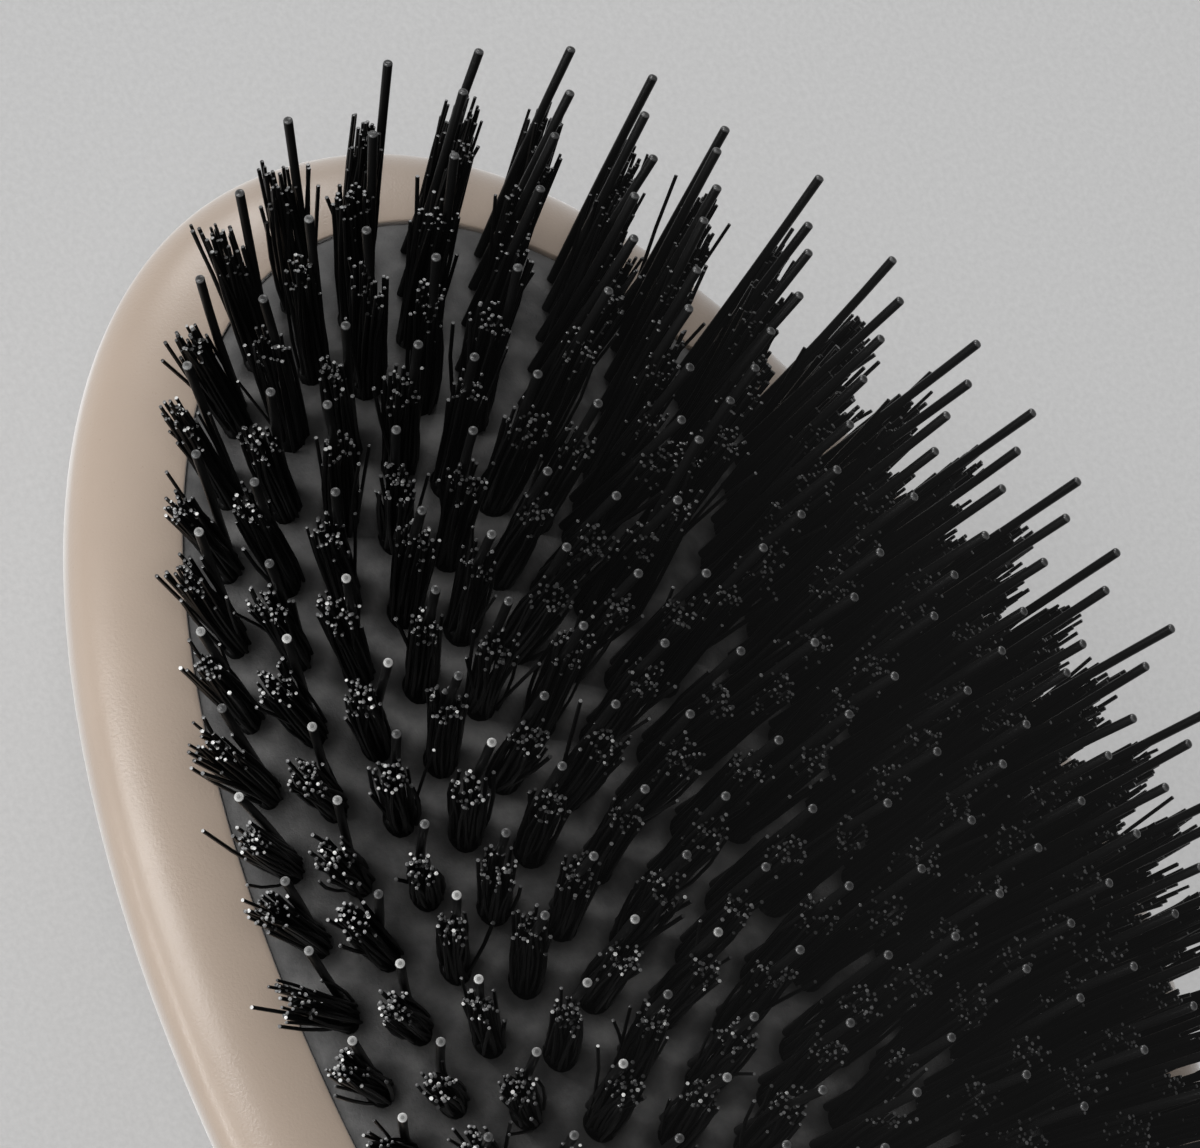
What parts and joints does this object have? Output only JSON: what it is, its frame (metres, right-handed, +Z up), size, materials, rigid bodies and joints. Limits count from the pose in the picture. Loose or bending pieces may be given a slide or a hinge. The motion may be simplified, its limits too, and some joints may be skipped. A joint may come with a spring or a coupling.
{
  "type": "cushion hairbrush",
  "caption": "Oval cushion hairbrush with a hollow soft-touch body, a crowned rubber cushion that gives, and rows of bristle tufts with a longer pin in each.",
  "frame": {"origin": "middle of the brush's plan, on the plane that its back rests on", "axes": "+Y along the handle to the head's tip, +Z up along the bristles, +X across the head"},
  "size_m": [0.0664, 0.232, 0.0413],
  "materials": {
    "soft_touch_plastic": "satin soft-touch coat",
    "frame_plastic": "plain moulded",
    "cushion_rubber": "matt",
    "backing_cloth": "plain weave",
    "bristle": "glossy black nylon"
  },
  "bodies": {
    "brush_body": {"front_shell": "soft_touch_plastic", "back_cover": "soft_touch_plastic", "cushion_frame": "frame_plastic", "cushion_margin": "cushion_rubber", "backing_cloth": "backing_cloth"},
    "row_1": {"tufts_row1_heel_left": "bristle", "tufts_row1_heel_right": "bristle", "tufts_row1_tip_right": "bristle", "tufts_row1_tip_left": "bristle"},
    "row_2": {"tufts_row2_heel_left": "bristle", "tufts_row2_heel_right": "bristle", "tufts_row2_tip_right": "bristle", "tufts_row2_tip_left": "bristle"},
    "row_3": {"tufts_row3_heel_left": "bristle", "tufts_row3_heel_right": "bristle", "tufts_row3_tip_right": "bristle", "tufts_row3_tip_left": "bristle"},
    "row_4": {"tufts_row4_heel_left": "bristle", "tufts_row4_heel_right": "bristle", "tufts_row4_tip_right": "bristle", "tufts_row4_tip_left": "bristle"},
    "row_5": {"tufts_row5_heel": "bristle", "tufts_row5_tip": "bristle"},
    "row_6": {"tufts_row6_heel": "bristle", "tufts_row6_tip": "bristle"},
    "row_7": {"tufts_row7": "bristle"},
    "row_8": {"tufts_row8": "bristle"}
  },
  "joints": [
    {"name": "cushion_press", "type": "slide", "parent": "brush_body", "child": "row_8", "axis": [0, 0, -1], "range_m": [0, 0.005], "stiffness_N_per_m": 400, "deforming": ["backing_cloth"]},
    {"name": "row_7_press", "type": "slide", "parent": "brush_body", "child": "row_7", "axis": [0, 0, -1], "range_m": [0, 0.0048], "stiffness_N_per_m": 200},
    {"name": "row_6_press", "type": "slide", "parent": "brush_body", "child": "row_6", "axis": [0, 0, -1], "range_m": [0, 0.00445], "stiffness_N_per_m": 200},
    {"name": "row_5_press", "type": "slide", "parent": "brush_body", "child": "row_5", "axis": [0, 0, -1], "range_m": [0, 0.00396], "stiffness_N_per_m": 200},
    {"name": "row_4_press", "type": "slide", "parent": "brush_body", "child": "row_4", "axis": [0, 0, -1], "range_m": [0, 0.00335], "stiffness_N_per_m": 200},
    {"name": "row_3_press", "type": "slide", "parent": "brush_body", "child": "row_3", "axis": [0, 0, -1], "range_m": [0, 0.00262], "stiffness_N_per_m": 200},
    {"name": "row_2_press", "type": "slide", "parent": "brush_body", "child": "row_2", "axis": [0, 0, -1], "range_m": [0, 0.00178], "stiffness_N_per_m": 200},
    {"name": "row_1_press", "type": "slide", "parent": "brush_body", "child": "row_1", "axis": [0, 0, -1], "range_m": [0, 0.000823], "stiffness_N_per_m": 200, "deforming": ["cushion_margin"]}
  ],
  "couplings": [
    {"joint": "row_7_press", "follows": "cushion_press", "ratio": 0.96},
    {"joint": "row_6_press", "follows": "cushion_press", "ratio": 0.8899},
    {"joint": "row_5_press", "follows": "cushion_press", "ratio": 0.7929},
    {"joint": "row_4_press", "follows": "cushion_press", "ratio": 0.6708},
    {"joint": "row_3_press", "follows": "cushion_press", "ratio": 0.5247},
    {"joint": "row_2_press", "follows": "cushion_press", "ratio": 0.3558},
    {"joint": "row_1_press", "follows": "cushion_press", "ratio": 0.1646}
  ]
}
